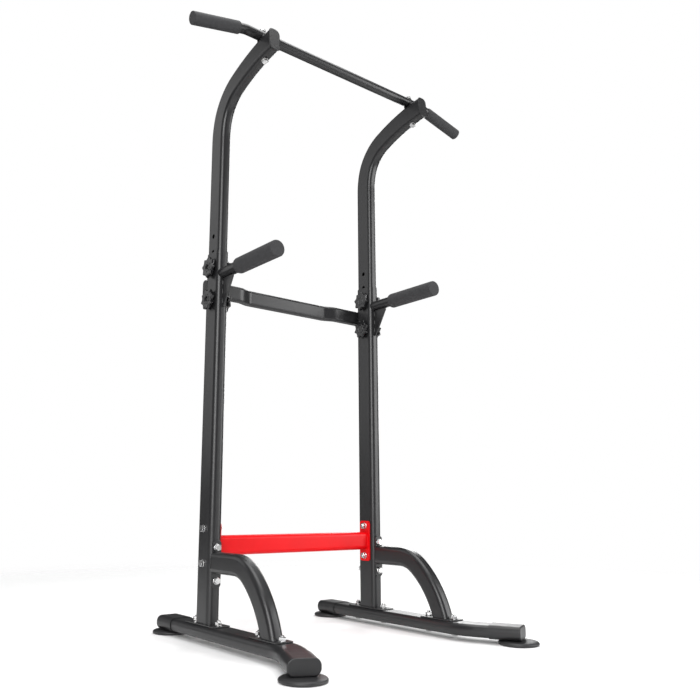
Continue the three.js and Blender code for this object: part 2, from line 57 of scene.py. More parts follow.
# Node wiring: sums and products of wires add their own Math nodes.
class Wire:
    def __init__(self, tree, socket=None):
        self.tree = tree
        self.socket = socket

    def node(self, kind, settings=None, sockets=None, output=0):
        made = self.tree.nodes.new(kind)
        for key, value in (settings or {}).items():
            if key == "stops":
                for stop, (place, colour) in zip(made.color_ramp.elements, value):
                    stop.position = place
                    stop.color = colour
            else:
                setattr(made, key, value)
        for key, value in (sockets or {}).items():
            if isinstance(value, Wire):
                self.tree.links.new(value.socket, made.inputs[key])
            else:
                made.inputs[key].default_value = value
        return Wire(self.tree, made.outputs[output])

    def maths(self, operation, first, second):
        return self.node("ShaderNodeMath", {"operation": operation}, {0: first, 1: second})

    def __add__(self, other):
        return self.maths("ADD", self, other)

    def __sub__(self, other):
        return self.maths("SUBTRACT", self, other)

    def __rsub__(self, other):
        return self.maths("SUBTRACT", other, self)

    def __mul__(self, other):
        return self.maths("MULTIPLY", self, other)

    __radd__ = __add__
    __rmul__ = __mul__

    def between(self, low, high):   # this value as a step from one colour to another
        return self.node("ShaderNodeMix", {"data_type": "RGBA"}, {0: self, 6: low, 7: high}, 2)


def noise(wire, place, scale, detail=2.0):
    return wire.node("ShaderNodeTexNoise", {}, {"Vector": place, "Scale": scale, "Detail": detail})


def bump(wire, height, strength, depth):
    return wire.node("ShaderNodeBump", {}, {"Height": height, "Strength": strength, "Distance": depth})


def startFinish(name):
    finish = bpy.data.materials.new(name)
    finish.use_nodes = True
    wire = Wire(finish.node_tree)
    place = wire.node("ShaderNodeTexCoord", output=3)      # Object coordinates
    shader = finish.node_tree.nodes["Principled BSDF"]
    return finish, wire, place, shader


def connect(finish, shader, inputs):
    for key, value in inputs.items():
        if isinstance(value, Wire):
            finish.node_tree.links.new(value.socket, shader.inputs[key])
        else:
            shader.inputs[key].default_value = value
    return finish


def shade(colour, factor):
    return tuple(factor * part for part in colour) + (1,)


def powderCoat(name, colour, gloss):
    finish, wire, place, shader = startFinish(name)
    patches = noise(wire, place, gloss["patches"], 3)
    peel = noise(wire, place, gloss["peel"], 2)
    grain = noise(wire, place, gloss["grain"], 3)
    tint = patches.between(shade(colour, 0.82), shade(colour, 1.2))
    specks = [(0.62, (0, 0, 0, 1)), (0.8, (1, 1, 1, 1))]       # only the grain's peaks
    speck = grain.node("ShaderNodeValToRGB", {"stops": specks}, {0: grain})
    tint = (speck * gloss["speck"]).between(tint, shade(colour, 2.4))
    return connect(finish, shader, {
        "Base Color": tint,
        "Roughness": gloss["roughness"] + (patches - 0.5) * 0.12 + (grain - 0.5) * 0.1,
        "Specular IOR Level": gloss["specular"],
        "Coat Weight": gloss["coat"],
        "Coat Roughness": 0.25,
        "Normal": bump(wire, grain * 0.35 + peel * 0.65, gloss["bump"], 0.00025),
    })


def zincPlate(name, zinc):
    finish, wire, place, shader = startFinish(name)
    cloud = noise(wire, place, zinc["clouds"], 4)
    scuffs = noise(wire, place, zinc["scuffs"], 3)
    return connect(finish, shader, {
        "Base Color": cloud.between(zinc["bluish"], zinc["yellowish"]),
        "Metallic": 1.0,
        "Roughness": zinc["roughness"] + (scuffs - 0.5) * 0.22,
        "Normal": bump(wire, scuffs, 0.2, 0.0001),
    })


def mouldedPlastic(name, plastic):
    finish, wire, place, shader = startFinish(name)
    texture = noise(wire, place, plastic["texture"], 3)
    flow = noise(wire, place, plastic["flow"], 2)
    return connect(finish, shader, {
        "Base Color": flow.between(shade(plastic["colour"], 0.8), shade(plastic["colour"], 1.25)),
        "Roughness": plastic["roughness"] + (flow - 0.5) * 0.14 + (texture - 0.5) * 0.1,
        "Specular IOR Level": plastic["specular"],
        "Normal": bump(wire, texture, plastic["bump"], 0.0002),
    })


def satinRubber(name, rubber):
    finish, wire, place, shader = startFinish(name)
    texture = noise(wire, place, rubber["texture"], 4)
    bloom = noise(wire, place, rubber["bloom"], 3)
    return connect(finish, shader, {
        "Base Color": bloom.between(shade(rubber["colour"], 0.75), shade(rubber["colour"], 1.5)),
        "Roughness": rubber["roughness"] + (bloom - 0.5) * 0.18,
        "Specular IOR Level": 0.5,
        "Normal": bump(wire, texture, 0.18, 0.0003),
    })


def closedFoam(name, foam):
    finish, wire, place, shader = startFinish(name)
    cells = wire.node("ShaderNodeTexVoronoi", {}, {"Vector": place, "Scale": foam["cells"]})
    skin = noise(wire, place, foam["skin"], 4)
    return connect(finish, shader, {
        "Base Color": skin.between(shade(foam["colour"], 0.7), shade(foam["colour"], 1.45)),
        "Roughness": foam["roughness"] + (skin - 0.5) * 0.16,
        "Specular IOR Level": 0.35,
        "Normal": bump(wire, cells * 0.7 + skin * 0.5, foam["bump"], 0.0005),
    })


blackGloss = {"patches": 7, "peel": 260, "grain": 1500, "speck": 0.12, "roughness": 0.36,
              "specular": 0.5, "coat": 0.1, "bump": 0.22}
redGloss = dict(blackGloss, roughness=0.34, specular=0.18, coat=0.04, speck=0.02, bump=0.14)
finishes = {
    "black_powder_coat": powderCoat("blackPowderCoat", (0.012, 0.012, 0.013), blackGloss),
    "red_powder_coat": powderCoat("redPowderCoat", (0.7, 0.003, 0.006), redGloss),
    "zinc_steel": zincPlate("zincPlate", {"bluish": (0.58, 0.59, 0.62, 1), "yellowish": (0.76, 0.75, 0.72, 1),
                                          "clouds": 60, "scuffs": 900, "roughness": 0.24}),
    "black_plastic": mouldedPlastic("capPlastic", {"colour": (0.012, 0.012, 0.013), "texture": 1400,
                                                   "flow": 30, "roughness": 0.42, "specular": 0.5,
                                                   "bump": 0.2}),
    "knob_plastic": mouldedPlastic("knobNylon", {"colour": (0.007, 0.007, 0.008), "texture": 1100,
                                                 "flow": 45, "roughness": 0.24, "specular": 0.55,
                                                 "bump": 0.12}),
    "black_rubber": satinRubber("padRubber", {"colour": (0.016, 0.016, 0.017), "texture": 1300,
                                              "bloom": 25, "roughness": 0.46}),
    "black_foam": closedFoam("gripFoam", {"colour": (0.036, 0.036, 0.038), "cells": 900, "skin": 120,
                                          "roughness": 0.72, "bump": 0.4}),
}
print("finishes made:", len(finishes))


# Modelling helpers.
def clearSelection():
    bpy.ops.object.select_all(action="DESELECT")


def pick(*pieces):
    clearSelection()
    for piece in pieces:
        piece.select_set(True)
    bpy.context.view_layer.objects.active = pieces[0]


def middle(node):
    low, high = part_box(node)
    return (low + high) / 2


def edit(mode="FACE"):
    bpy.ops.object.mode_set(mode="EDIT")
    bpy.ops.mesh.select_mode(type=mode)
    bpy.ops.mesh.select_all(action="SELECT")


def finishEdit(name, angle=35):
    bpy.ops.mesh.select_all(action="SELECT")
    bpy.ops.mesh.remove_doubles(threshold=0.00001)
    bpy.ops.mesh.normals_make_consistent(inside=False)
    bpy.ops.object.mode_set(mode="OBJECT")
    piece = bpy.context.active_object
    piece.name = name
    bpy.ops.object.shade_smooth_by_angle(angle=radians(angle))
    return piece


def placeFlat(place, heading, axis, size):
    basis = Matrix((axis.cross(heading) * size[0], axis * size[1], heading)).transposed()
    bpy.context.active_object.matrix_world = Matrix.Translation(place) @ basis.to_4x4()
    bpy.ops.object.transform_apply(location=True, rotation=True, scale=True)


# Leaves the piece in edit mode with only the faces chosen that pass a test.
def chooseFaces(piece, test):
    pick(piece)
    edit()
    bpy.ops.mesh.select_all(action="DESELECT")
    bpy.ops.object.mode_set(mode="OBJECT")
    for face in piece.data.polygons:
        face.select = test(face)
    bpy.ops.object.mode_set(mode="EDIT")


# A flat outline with round corners: its first size lies across the heading, its second along the axis.
def startOutline(place, heading, axis, size, corner, steps=7):
    clearSelection()
    bpy.ops.mesh.primitive_plane_add(size=1)
    placeFlat(place, heading, axis, size)
    edit("VERT")
    bpy.ops.mesh.bevel(offset_type="OFFSET", offset=corner, segments=steps, affect="VERTICES")
    bpy.ops.mesh.select_mode(type="FACE")
    bpy.ops.mesh.select_all(action="SELECT")


def startCircle(place, heading, radius, sides):
    clearSelection()
    bpy.ops.mesh.primitive_circle_add(vertices=sides, radius=radius, fill_type="NGON")
    turn = alongZ.rotation_difference(heading).to_matrix().to_4x4()
    bpy.context.active_object.matrix_world = Matrix.Translation(place) @ turn
    bpy.ops.object.transform_apply(location=True, rotation=True, scale=True)
    edit()


def extrude(step):
    bpy.ops.mesh.extrude_region_move(TRANSFORM_OT_translate={"value": step})


def resize(share, centre):
    bpy.ops.transform.resize(value=[share] * 3, center_override=centre)


# Draws the chosen face along legs: [length], or [radius, degrees] for a bend about the axis.
def follow(place, heading, axis, legs):
    point = place.copy()
    direction = heading.normalized()
    for size, *bend in legs:
        if bend:
            turn = radians(bend[0])
            centre = point + axis.cross(direction) * size * (1 if turn > 0 else -1)
            steps = max(3, round(abs(bend[0]) / 2.5))
            bpy.ops.mesh.spin(steps=steps, angle=-turn, center=centre, axis=axis)
            rotation = Matrix.Rotation(turn, 3, axis)
            point = centre + rotation @ (point - centre)
            direction = rotation @ direction
        else:
            extrude(direction * size)
            point += direction * size
    return point, direction


def flatTube(name, place, heading, axis, size, corner, legs):
    startOutline(place, heading, axis, size, corner)
    end, direction = follow(place, heading, axis, legs)
    return finishEdit(name), end, direction


def flatPlate(name, place, heading, axis, size, corner, thickness, soft=0.4):    # soft in millimetres
    startOutline(place, heading, axis, size, corner)
    extrude(heading * thickness)
    return roundRims(finishEdit(name), heading, soft * mm)


# Rounds the edges round the flat faces that look along a direction, both ways or one way.
def roundRims(piece, heading, width, oneWay=False, steps=2):
    def looksAlong(face):
        facing = face.normal.dot(heading)
        return (facing if oneWay else abs(facing)) > 0.99

    chooseFaces(piece, looksAlong)
    bpy.ops.mesh.region_to_loop()
    bpy.ops.mesh.bevel(offset_type="OFFSET", offset=width, segments=steps, affect="EDGES")
    return finishEdit(piece.name)


# A turned shape: a disc drawn on through pairs of radius and height.
def turned(name, place, heading, profile, sides=48, angle=35):
    radius, height = profile[0]
    startCircle(place + heading * height * mm, heading, radius * mm, sides)
    for nextRadius, nextHeight in profile[1:]:
        extrude(heading * (nextHeight - height) * mm)
        resize(nextRadius / radius, place + heading * nextHeight * mm)
        radius, height = nextRadius, nextHeight
    return finishEdit(name, angle)


def joined(name, *pieces):
    pick(*pieces)
    bpy.ops.object.join()
    pieces[0].name = name
    return pieces[0]


def cutAway(piece, *cutters):
    for cutter in cutters:
        pick(piece)
        modifier = piece.modifiers.new("cut", "BOOLEAN")
        modifier.operation = "DIFFERENCE"
        modifier.solver = "EXACT"
        modifier.object = cutter
        bpy.ops.object.modifier_apply(modifier=modifier.name)
        bpy.data.objects.remove(cutter)
    return piece


# A round hole right through a piece along X, its radius in millimetres.
def boreAcross(piece, centre, radius):
    reach = 50
    hole = turned("hole", centre - alongX * reach * mm, alongX, [(radius, 0), (radius, 2 * reach)], 32)
    return cutAway(piece, hole)


# Takes off a tube's flat ends and gives what is left its wall, inwards.
def hollowed(piece, ends, wall):
    def closesAnEnd(face):
        return len(face.vertices) > 4 and any((face.center - end).length < mm for end in ends)

    chooseFaces(piece, closesAnEnd)
    bpy.ops.mesh.delete(type="FACE")
    bpy.ops.object.mode_set(mode="OBJECT")
    modifier = piece.modifiers.new("wall", "SOLIDIFY")
    modifier.thickness = wall
    modifier.offset = -1
    modifier.use_even_offset = True
    bpy.ops.object.modifier_apply(modifier=modifier.name)
    bpy.ops.object.shade_smooth_by_angle(angle=radians(35))
    return piece


def copied(piece, name, matrix):
    twin = piece.copy()
    twin.data = piece.data.copy()
    twin.name = name
    bpy.context.collection.objects.link(twin)
    twin.data.transform(matrix)
    if matrix.determinant() < 0:
        twin.data.flip_normals()
    return twin


bodyOf = {node: body for body, nodes in frame["record"]["behaviour"]["bodies"].items() for node in nodes}
slotOf = {row["node"]: row["material_slot"] for row in frame["record"]["subparts"]}


# Gives a piece its finish and its body, both from the solid that it stands for.
def fit(piece, node, slot=None):
    chosen = slot or slotOf[node]
    piece.data.materials.clear()
    piece.data.materials.append(finishes[chosen])
    for face in piece.data.polygons:
        face.material_index = 0
    pick(piece)
    modifier = piece.modifiers.new("evenShading", "WEIGHTED_NORMAL")
    modifier.keep_sharp = True
    bpy.ops.object.modifier_apply(modifier=modifier.name)
    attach(piece, bodyOf[node])
    if not slot:
        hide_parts(node)
    return piece


# A piece made on the right side, and its mirror image on the left.
def fitBoth(piece, stem):
    twin = copied(piece, f"{stem}_made_left", toMirror)
    piece.name = f"{stem}_made_right"
    fit(piece, f"{stem}_right")
    fit(twin, f"{stem}_left")


# Fasteners, in millimetres: a head, washers, a threaded shank and a nut.
screwSize = {"radius": 5, "headAcross": 17, "head": 6.4, "nut": 8, "washerRadius": 10.5, "washer": 2,
             "tip": 4, "pitch": 1.5, "carriageHead": 7, "chamfer": 0.8, "washerEdge": 0.4,
             "threadDepth": 0.55, "pointDepth": 1.1, "lastTurn": 0.6}
hexRadius = screwSize["headAcross"] / sqrt(3)


def hexagon(place, heading, low, high, start=0.9):     # its corners are drawn in by start at each face
    edge, chamfer = hexRadius - start, screwSize["chamfer"]
    profile = [(edge, low), (hexRadius, low + chamfer), (hexRadius, high - chamfer), (edge, high)]
    return turned("hexagon", place, heading, profile, 6, 12)


def washer(place, heading, low, high, radius=screwSize["washerRadius"]):
    edge = screwSize["washerEdge"]
    profile = [(radius - edge, low), (radius, low + edge), (radius, high - edge), (radius - edge, high)]
    return turned("washer", place, heading, profile, 40)


def thread(place, heading, low, high):
    radius, pitch = screwSize["radius"], screwSize["pitch"]
    profile = [(radius, low)]
    height = low
    while height + pitch < high - screwSize["lastTurn"]:
        profile += [(radius - screwSize["threadDepth"], height + pitch / 2), (radius, height + pitch)]
        height += pitch
    profile += [(radius - screwSize["pointDepth"], high)]
    return turned("thread", place, heading, profile, 24, 20)


# A hex bolt through a grip in millimetres, from under its head's washer to under its nut's washer.
def throughBolt(place, heading, grip):
    size = screwSize
    headFace = -gap / mm - size["washer"]
    nutFace = grip + gap / mm + size["washer"]
    shankEnd = nutFace + size["nut"] + size["tip"]
    return joined(
        "throughBolt",
        hexagon(place, heading, headFace - size["head"], headFace),
        washer(place, heading, headFace, -gap / mm),
        turned("shank", place, heading, [(size["radius"], headFace), (size["radius"], nutFace)], 24),
        washer(place, heading, grip + gap / mm, nutFace),
        hexagon(place, heading, nutFace, nutFace + size["nut"]),
        thread(place, heading, nutFace, shankEnd),
    )


def boltGrip(node, axis):          # what lies between the washers of a bolt, from its whole length
    low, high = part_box(node)
    size = screwSize
    whole = (high - low)[axis] / mm
    return whole - size["head"] - 2 * size["washer"] - size["nut"] - size["tip"] - 2 * gap / mm


# The camera comes first, then the floor and the lights.
view = {"place": (-1.40425, -1.73339, 0.37208), "yaw": 37.477, "pitch": 11.187, "roll": 0.24,
        "lens": 38.293, "shift": (0.0581, 0.01257)}


def makeCamera():
    yaw, pitch, roll = radians(view["yaw"]), radians(view["pitch"]), radians(view["roll"])
    ahead = Vector((sin(yaw) * cos(pitch), cos(yaw) * cos(pitch), sin(pitch)))
    level = Vector((cos(yaw), -sin(yaw), 0))
    upright = level.cross(ahead)
    right = level * cos(roll) + upright * sin(roll)
    up = upright * cos(roll) - level * sin(roll)
    camera = bpy.data.objects.new("camera", bpy.data.cameras.new("camera"))
    camera.data.lens = view["lens"]
    camera.data.shift_x, camera.data.shift_y = view["shift"]
    camera.data.clip_start = 0.05
    bpy.context.collection.objects.link(camera)
    turn = Matrix((right, up, -ahead)).transposed().to_4x4()
    camera.matrix_world = Matrix.Translation(view["place"]) @ turn
    bpy.context.scene.camera = camera


studio = {"floor": 0.92, "floorSize": 12, "solid": 1.3, "faded": 3.2, "sky": 0.07, "backdrop": 1.0,
          "skyColour": (1, 1, 1, 1), "aim": (0, 0, 0.8)}
lamps = [                          # name, place, width, height, power
    ("keyLamp", (-3.1, -2.7, 1.9), 2.2, 3.4, 170),
    ("frontLamp", (2.6, -2.5, 1.5), 1.5, 2.8, 75),
    ("rimLamp", (3.2, 2.4, 2.4), 1.4, 3.0, 80),
    ("sideLamp", (-2.6, 2.8, 2.2), 2.4, 3.2, 26),
    ("ceilingLamp", (0, -0.2, 4.4), 3.6, 3.6, 160),
]


def makeStudio():
    clearSelection()
    bpy.ops.mesh.primitive_plane_add(size=studio["floorSize"])
    floor = bpy.context.active_object
    floor.name = "studioFloor"
    finish, wire, place, shader = startFinish("studioFloor")
    mottle = noise(wire, place, 3, 2)
    pale = studio["floor"]
    reach = wire.node("ShaderNodeVectorMath", {"operation": "LENGTH"}, {0: place}, "Value")
    fade = wire.node("ShaderNodeMapRange", {"interpolation_type": "SMOOTHSTEP"},
                     {"Value": reach, 1: studio["solid"], 2: studio["faded"], 3: 1.0, 4: 0.0})
    white = (1, 1, 1)
    connect(finish, shader, {"Base Color": mottle.between(shade(white, pale), shade(white, pale + 0.02)),
                             "Roughness": 0.9, "Specular IOR Level": 0.1, "Alpha": fade})
    floor.data.materials.append(finish)
    sky = bpy.data.worlds.new("studioSky")
    sky.use_nodes = True
    skyWire = Wire(sky.node_tree)
    colour = studio["skyColour"]
    backdrop = skyWire.node("ShaderNodeBackground", {}, {"Color": colour, "Strength": studio["backdrop"]})
    light = skyWire.node("ShaderNodeBackground", {}, {"Color": colour, "Strength": studio["sky"]})
    seen = skyWire.node("ShaderNodeLightPath")             # what the eye sees is paler than what lights
    both = skyWire.node("ShaderNodeMixShader", {}, {0: seen, 1: light, 2: backdrop})
    sky.node_tree.links.new(both.socket, sky.node_tree.nodes["World Output"].inputs["Surface"])
    bpy.context.scene.world = sky
    bpy.context.scene.view_settings.view_transform = "Standard"
    for name, place, width, height, power in lamps:
        lamp = bpy.data.objects.new(name, bpy.data.lights.new(name, "AREA"))
        lamp.data.energy = power
        lamp.data.shape = "RECTANGLE"
        lamp.data.size, lamp.data.size_y = width, height
        bpy.context.collection.objects.link(lamp)
        aim = Vector(studio["aim"]) - Vector(place)
        lamp.matrix_world = Matrix.Translation(place) @ aim.to_track_quat("-Z", "Y").to_matrix().to_4x4()


makeCamera()
makeStudio()
print("camera, floor and lamps placed")

sole = {"width": 52 * mm, "thickness": 3 * mm, "corner": 7 * mm, "upright": 166 * mm, "brace": 128 * mm}

# Driving places, read from the solids.
uprightX = middle("upright_right").x
uprightY = middle("clamp_knob_upper_right").y
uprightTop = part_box("upright_right")[1].z
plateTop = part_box("upright_right")[0].z + sole["thickness"]

foot = {"width": 74 * mm, "height": 35 * mm, "corner": 15 * mm, "bend": 25.5, "bendRadius": 200 * mm}
footCap = {"length": 84 * mm, "wall": 1.5 * mm, "end": 4 * mm, "edge": 3.2 * mm, "lip": 1.2 * mm,
           "lipShare": 0.6}        # how much of the wall's thickness the lip stands in from


def makeFeet():
    low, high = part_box("foot_tube_right")
    frontPad = middle("foot_pad_front_right")
    bend = radians(foot["bend"])
    tangent = foot["bendRadius"] * tan(bend / 2)
    cornerY = frontPad.y + (frontPad.x - uprightX) / tan(bend)
    tipY = low.y + foot["width"] / 2 * sin(bend)
    tail = (cornerY - tipY) / cos(bend) - tangent
    start = Vector((uprightX, high.y, (low.z + high.z) / 2))
    legs = [[high.y - cornerY - tangent], [foot["bendRadius"], foot["bend"]], [tail]]
    size = (foot["width"], foot["height"])
    tube, end, outwards = flatTube("footTube", start, toFront, alongZ, size, foot["corner"], legs)
    fitBoth(tube, "foot_tube")
    fitBoth(makeFootCap(start, alongY), "foot_cap_rear")
    fitBoth(makeFootCap(end, outwards), "foot_cap_front")


# A sleeve with a closed, rounded end, drawn from its lip outwards and then hollowed from the lip.
def makeFootCap(tubeEnd, outwards):
    grown = 2 * (gap + footCap["wall"])
    size = (foot["width"] + grown, foot["height"] + grown)
    lip = tubeEnd - outwards * (footCap["length"] - gap)
    whole = footCap["length"] + footCap["end"]
    startOutline(lip, outwards, alongZ, size, foot["corner"] + grown / 2, 9)
    extrude(outwards * whole)
    cap = roundRims(finishEdit("footCap"), outwards, footCap["edge"], True, 5)
    chooseFaces(cap, lambda face: face.normal.dot(outwards) < -0.99)
    bpy.ops.mesh.inset(thickness=footCap["wall"] * footCap["lipShare"])
    extrude(outwards * footCap["lip"])
    bpy.ops.mesh.inset(thickness=footCap["wall"] * (1 - footCap["lipShare"]))
    extrude(outwards * (footCap["length"] - footCap["lip"]))
    return finishEdit("footCap")


# Pairs of radius and height in millimetres, from the hollow under a pad out over its rim to its neck.
padProfile = [(17, 5), (38, 2.4), (41, 1.6), (43, 0), (50.5, 0), (53, 0.8), (54.8, 2.4), (55.5, 4.6),
              (55.1, 6.6), (54, 8.2), (52.2, 9.4), (49.6, 10.3), (45, 11), (38, 11.5), (30, 11.8), (22, 11.9)]
padScrewProfile = [(4, 0.9), (7, 1.1), (8.4, 2), (8.8, 3.4), (8.8, 4.8), (4.3, 4.9), (4.3, 11)]


def makePads():
    pad = turned("pad", Vector(), alongZ, padProfile, 96)
    screw = turned("padScrew", Vector(), alongZ, padScrewProfile, 32)
    for node in [name for name in slotOf if name.startswith("foot_pad")]:
        centre = middle(node)
        move = Matrix.Translation((centre.x, centre.y, 0))
        fit(copied(pad, node.replace("foot_pad", "rubber_pad"), move), node)
        fit(copied(screw, node.replace("foot_pad", "pad_screw"), move), node, "zinc_steel")
    bpy.data.objects.remove(pad)
    bpy.data.objects.remove(screw)


nutTurn = 23                       # degrees from one nut's angle to the next one's


# A round-headed bolt from under a foot, with its washer and nut on the sole plate.
def makeFootBolts():
    low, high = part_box("foot_bolt_1_right")
    size = screwSize
    whole = (high.z - low.z) / mm
    nutFace = whole - size["tip"] - size["nut"]
    headTop = size["carriageHead"]
    radius = size["washerRadius"]
    dome = [(3, 0), (6, 0.5), (8.6, 1.7), (radius - 0.3, 3.6), (radius, headTop - 0.5),
            (radius - 0.2, headTop)]
    base = Vector((0, 0, low.z))
    footBolt = joined(
        "footBolt",
        turned("dome", base, alongZ, dome, 40),
        turned("shank", base, alongZ, [(size["radius"], headTop), (size["radius"], nutFace)], 24),
        washer(base, alongZ, nutFace - size["washer"], nutFace),
        hexagon(base, alongZ, nutFace, nutFace + size["nut"]),
        thread(base, alongZ, nutFace, whole),
    )
    nodes = [name for name in slotOf if name.startswith("foot_bolt")]
    for number, node in enumerate(nodes, 1):
        centre = middle(node)
        spin = Matrix.Rotation(radians(number * nutTurn), 4, "Z")
        move = Matrix.Translation((centre.x, centre.y, 0)) @ spin
        fit(copied(footBolt, node.replace("foot_bolt", "carriage_bolt"), move), node)
    bpy.data.objects.remove(footBolt)


makeFeet()
makePads()
makeFootBolts()
print("feet made")

column = {"depth": 75 * mm, "width": 40 * mm, "corner": 15 * mm, "wall": 2 * mm, "hole": 5.5}
# a dark plastic lip on the upright's rim, which also stands in for the shade in the gap between the tubes
shadeLineBushing = {"height": 1.6 * mm, "set": 1.2 * mm, "wall": 1.2 * mm}


# A weld's rounded bead between two points, in short overlapping ripples.
def bead(start, end, radius=2.2, ripple=3.2):
    length = (end - start).length / mm
    ripples = max(2, round(length / ripple))
    profile = [(0.5, 0)]
    step = length / ripples
    for number in range(ripples):
        low = length * number / ripples
        profile += [(radius * 0.86, low + 0.25 * step), (radius, low + 0.6 * step)]
    profile += [(0.5, length)]
    return turned("bead", start, (end - start).normalized(), profile, 12, 60)


def solePlate(y, length):
    under = Vector((uprightX, y, plateTop - sole["thickness"]))
    size = (sole["width"], length)
    return flatPlate("sole", under, alongZ, alongY, size, sole["corner"], sole["thickness"])


def soleWelds():                   # beads along both sides of an upright's foot
    half = column["width"] / 2
    reach = column["depth"] / 2 - column["corner"]
    edges = [(Vector((uprightX + side * half, uprightY, plateTop)), alongY * reach) for side in (-1, 1)]
    return [bead(centre - along, centre + along) for centre, along in edges]


def makeUprights():
    start = Vector((uprightX, uprightY, plateTop))
    length = uprightTop - plateTop
    size = (column["depth"], column["width"])
    tube, end, _ = flatTube("uprightTube", start, alongZ, alongX, size, column["corner"], [[length]])
    hollowed(tube, [start, end], column["wall"])
    for row in ("upper", "lower"):
        boreAcross(tube, Vector((uprightX, uprightY, middle(f"clamp_knob_{row}_right").z)), column["hole"])
    plate = solePlate(uprightY, sole["upright"])
    fitBoth(joined("uprightTube", tube, plate, *soleWelds()), "upright")
    makeShadeLineBushing(Vector((uprightX, uprightY, uprightTop)))


# Beads along the four flats of a tube's end: its place, and its two directions with their sizes.
def frameOfBeads(place, tall, height, wide, width, corner):
    beads = []
    for along, length, across, spread in ((tall, height, wide, width), (wide, width, tall, height)):
        reach = along * (length / 2 - corner)
        for side in (-1, 1):
            centre = place + across * side * spread / 2
            beads.append(bead(centre - reach, centre + reach))
    return beads


# The thin plastic lip between an upright's rim and the tube that slides in it. It is a sleeve insert, and its
# dark rim also stands in for the shade line in the gap between the two tubes.
def makeShadeLineBushing(place):
    size = (column["depth"] - shadeLineBushing["set"], column["width"] - shadeLineBushing["set"])
    corner = column["corner"] - shadeLineBushing["set"] / 2
    lip, end, _ = flatTube("shadeLineBushing", place, alongZ, alongX, size, corner, [[shadeLineBushing["height"]]])
    hollowed(lip, [place, end], shadeLineBushing["wall"])
    lip.name = "shade_line_bushing_right"
    fit(copied(lip, "shade_line_bushing_left", toMirror), "upright_left", "black_plastic")
    fit(lip, "upright_right", "black_plastic")


makeUprights()
print("uprights made")

brace = {"depth": 57 * mm, "width": 40 * mm, "corner": 14 * mm, "straight": 105 * mm,
         "bends": [[111.5 * mm, 38], [289.5 * mm, 39.3]], "tail": 60 * mm, "height": 217 * mm}
flange = {"thickness": 5 * mm, "width": 28 * mm, "corner": 8 * mm, "low": 150 * mm, "high": 276 * mm,
          "soft": 0.6}


def makeBraces():
    back = uprightY - column["depth"] / 2 - gap
    front = back - flange["thickness"]
    start = Vector((uprightX, front, brace["height"]))
    legs = [[brace["straight"]], *brace["bends"], [brace["tail"]]]
    size = (brace["depth"], brace["width"])
    tube, _, _ = flatTube("braceTube", start, toFront, alongX, size, brace["corner"], legs)
    pick(tube)
    edit()
    bpy.ops.mesh.bisect(plane_co=(0, 0, plateTop), plane_no=alongZ, clear_inner=True, use_fill=True)
    tube = finishEdit("braceTube")
    height = flange["high"] - flange["low"]
    centre = Vector((uprightX, back, (flange["high"] + flange["low"]) / 2))
    size = (flange["width"], height)
    plate = flatPlate("flange", centre, toFront, alongZ, size, flange["corner"], flange["thickness"],
                      flange["soft"])
    middleY = (middle("foot_bolt_3_right").y + middle("foot_bolt_4_right").y) / 2
    welds = frameOfBeads(start, alongZ, brace["depth"], alongX, brace["width"], brace["corner"])
    fitBoth(joined("braceTube", tube, plate, solePlate(middleY, sole["brace"]), *welds), "brace")
    grip = boltGrip("brace_bolt_1_right", 1)
    for number in (1, 2):
        place = Vector((uprightX, front, middle(f"brace_bolt_{number}_right").z))
        fitBoth(throughBolt(place, alongY, grip), f"brace_bolt_{number}")


makeBraces()
print("braces made")

crossbar = {"height": 56 * mm, "depth": 30 * mm, "corner": 12 * mm}
crossbarPlate = {"height": 128 * mm, "width": 47 * mm, "thickness": 4 * mm, "corner": 9 * mm, "soft": 0.6}


def makeCrossbar():
    low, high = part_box("crossbar")
    centre = (low + high) / 2
    thickness = crossbarPlate["thickness"]
    start = Vector((low.x + thickness, centre.y, centre.z))
    size = (crossbar["depth"], crossbar["height"])
    length = high.x - low.x - 2 * thickness
    tube, _, _ = flatTube("redTube", start, alongX, alongZ, size, crossbar["corner"], [[length]])
    plateSize = (crossbarPlate["width"], crossbarPlate["height"])
    corner, soft = crossbarPlate["corner"], crossbarPlate["soft"]
    parts = []
    for x in (low.x, high.x - thickness):
        place = Vector((x, centre.y, centre.z))
        parts.append(flatPlate("redPlate", place, alongX, alongZ, plateSize, corner, thickness, soft))
    depth, height = size
    for x in (low.x + thickness, high.x - thickness):
        place = Vector((x, centre.y, centre.z))
        parts += frameOfBeads(place, alongZ, height, alongY, depth, crossbar["corner"])
    fit(joined("red_crossbar", tube, *parts), "crossbar")
    grip = boltGrip("crossbar_bolt_1_right", 0)
    for number in (1, 2):
        place = Vector((uprightX + column["width"] / 2, uprightY, middle(f"crossbar_bolt_{number}_right").z))
        fitBoth(throughBolt(place, -alongX, grip), f"crossbar_bolt_{number}")


makeCrossbar()
print("crossbar made")

backBar = {"height": 50 * mm, "depth": 25 * mm, "corner": 10 * mm, "outer": 116 * mm, "recess": 14 * mm,
           "turn": 22, "bendRadius": 50 * mm, "studSpread": 12 * mm, "washerRadius": 9}
plug = {"lip": 3 * mm, "edge": 1.4 * mm, "soft": 0.2}


